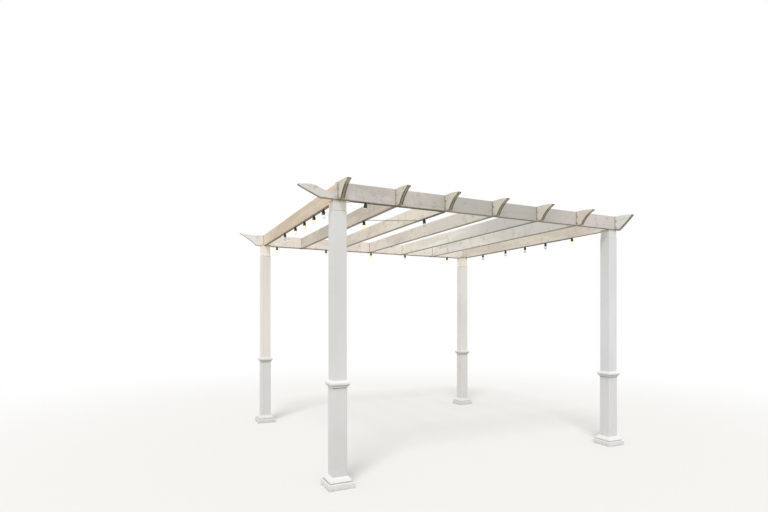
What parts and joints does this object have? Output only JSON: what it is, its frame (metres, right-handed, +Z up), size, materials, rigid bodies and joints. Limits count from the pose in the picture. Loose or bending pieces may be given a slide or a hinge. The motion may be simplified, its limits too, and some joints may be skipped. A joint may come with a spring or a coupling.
{
  "type": "pergola",
  "caption": "Free-standing white pergola: square sleeved posts with collars and skirts carry half-lapped beams and rafters with pointed tails, hung with a string of globe lamps.",
  "frame": {"origin": "on the ground at the middle of the four posts", "axes": "+X along the two beams to the right as seen from the front, +Y from the front beam to the back beam, +Z up"},
  "size_m": [4.097, 3.57, 2.672],
  "materials": {
    "vinyl_sleeves": "satin",
    "vinyl_trim": "satin",
    "neck_vinyl": "matt",
    "painted_boards": "weathered paint",
    "cable_jacket": "matt",
    "staple_steel": "galvanized",
    "socket_plastic": "matt",
    "lamp_glass": "frosted"
  },
  "bodies": {
    "root": {"back_beam": "painted_boards", "back_left_collar": "vinyl_trim", "back_left_neck": "neck_vinyl", "back_left_pedestal": "vinyl_sleeves", "back_left_post": "vinyl_sleeves", "back_left_skirt": "vinyl_trim", "back_right_collar": "vinyl_trim", "back_right_neck": "neck_vinyl", "back_right_pedestal": "vinyl_sleeves", "back_right_post": "vinyl_sleeves", "back_right_skirt": "vinyl_trim", "cable_staples": "staple_steel", "front_beam": "painted_boards", "front_left_collar": "vinyl_trim", "front_left_neck": "neck_vinyl", "front_left_pedestal": "vinyl_sleeves", "front_left_post": "vinyl_sleeves", "front_left_skirt": "vinyl_trim", "front_right_collar": "vinyl_trim", "front_right_neck": "neck_vinyl", "front_right_pedestal": "vinyl_sleeves", "front_right_post": "vinyl_sleeves", "front_right_skirt": "vinyl_trim", "globe_lamps": "lamp_glass", "lamp_cable": "cable_jacket", "lamp_sockets": "socket_plastic", "rafter_1": "painted_boards", "rafter_2": "painted_boards", "rafter_3": "painted_boards", "rafter_4": "painted_boards", "rafter_5": "painted_boards", "rafter_6": "painted_boards", "rafter_7": "painted_boards"}
  },
  "joints": []
}
